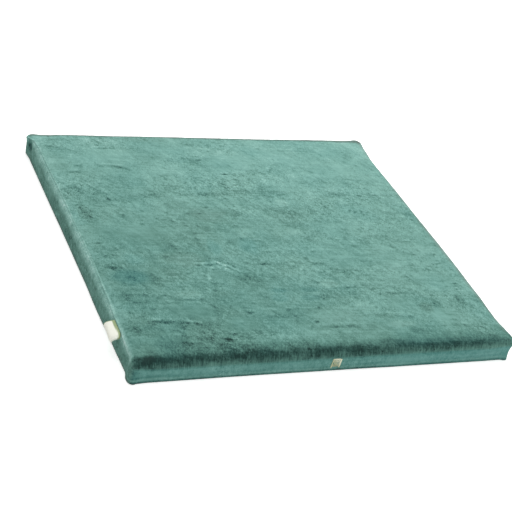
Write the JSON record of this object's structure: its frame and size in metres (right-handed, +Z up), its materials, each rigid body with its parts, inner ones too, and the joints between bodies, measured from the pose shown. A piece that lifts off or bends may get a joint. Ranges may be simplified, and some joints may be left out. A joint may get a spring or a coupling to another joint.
{
  "type": "zabuton meditation mat",
  "caption": "Flat rectangular meditation mat: a foam slab in a boxed short-pile velvet cover, with a folded tape tab in its side seam and a small thread patch on its front band.",
  "frame": {"origin": "middle of the flat base, on the surface the mat lies on", "axes": "+X along the mat's long side, to its right; -Y to its front; +Z up through its thickness"},
  "size_m": [0.8225, 0.7332, 0.052],
  "materials": {
    "velvet": "grey-green crushed velvet with a short pile",
    "tape": "cream woven tape",
    "gold_thread": "pale gold satin stitch"
  },
  "bodies": {
    "root": {"mat": "velvet", "side_tab": "tape", "front_patch": "gold_thread"}
  },
  "joints": []
}
